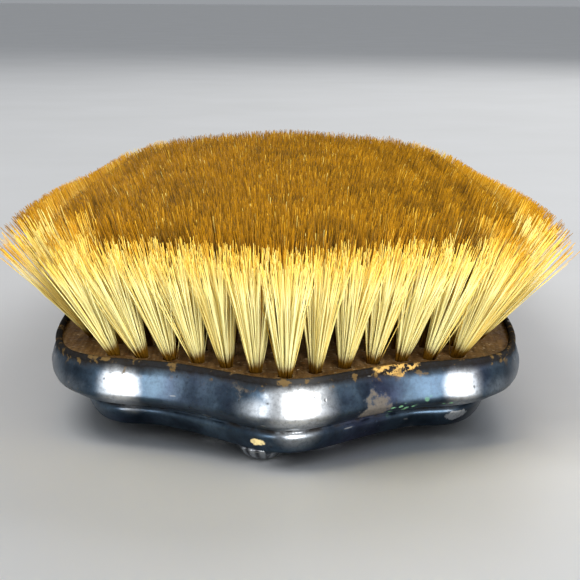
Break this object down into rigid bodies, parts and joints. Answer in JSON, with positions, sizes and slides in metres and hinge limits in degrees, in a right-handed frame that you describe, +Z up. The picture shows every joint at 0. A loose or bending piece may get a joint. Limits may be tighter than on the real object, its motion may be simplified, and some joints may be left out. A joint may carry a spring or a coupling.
{
  "type": "clothes brush",
  "caption": "Clothes brush with a pressed silver-plated metal back, a drilled wooden stock and rows of drawn natural bristle tufts, lying bristles up.",
  "frame": {"origin": "centre of the flat oval on the underside of the back, on the plane that the brush rests on", "axes": "+Z up, from the metal back towards the bristle tips; +Y along the brush; +X across it"},
  "size_m": [0.0712, 0.1568, 0.028],
  "materials": {
    "silver_plate": "tarnished silver plate on pressed brass: blue-grey, glossy, with grime under the lip, scratches and worn brown patches",
    "pitch": "dark brown filling pitch, dull",
    "wood": "tan varnished wood, dusty, worn and darkened at the holes",
    "brass_wire": "thin dull brass drawing wire",
    "bristle": "natural hog bristle, straw yellow with brown roots and amber tips, slightly glossy"
  },
  "bodies": {
    "root": {"back_shell": "silver_plate", "pitch_bed": "pitch", "drilled_stock": "wood", "drawing_wire_01": "brass_wire", "drawing_wire_02": "brass_wire", "drawing_wire_03": "brass_wire", "drawing_wire_04": "brass_wire", "drawing_wire_05": "brass_wire", "drawing_wire_06": "brass_wire", "drawing_wire_07": "brass_wire", "drawing_wire_08": "brass_wire", "drawing_wire_09": "brass_wire", "drawing_wire_10": "brass_wire", "drawing_wire_11": "brass_wire", "drawing_wire_12": "brass_wire", "drawing_wire_13": "brass_wire", "drawing_wire_14": "brass_wire", "drawing_wire_15": "brass_wire", "tuft_row_01": "bristle", "tuft_row_02": "bristle", "tuft_row_03": "bristle", "tuft_row_04": "bristle", "tuft_row_05": "bristle", "tuft_row_06": "bristle", "tuft_row_07": "bristle", "tuft_row_08": "bristle", "tuft_row_09": "bristle", "tuft_row_10": "bristle", "tuft_row_11": "bristle", "tuft_row_12": "bristle", "tuft_row_13": "bristle", "tuft_row_14": "bristle", "tuft_row_15": "bristle"}
  },
  "joints": []
}
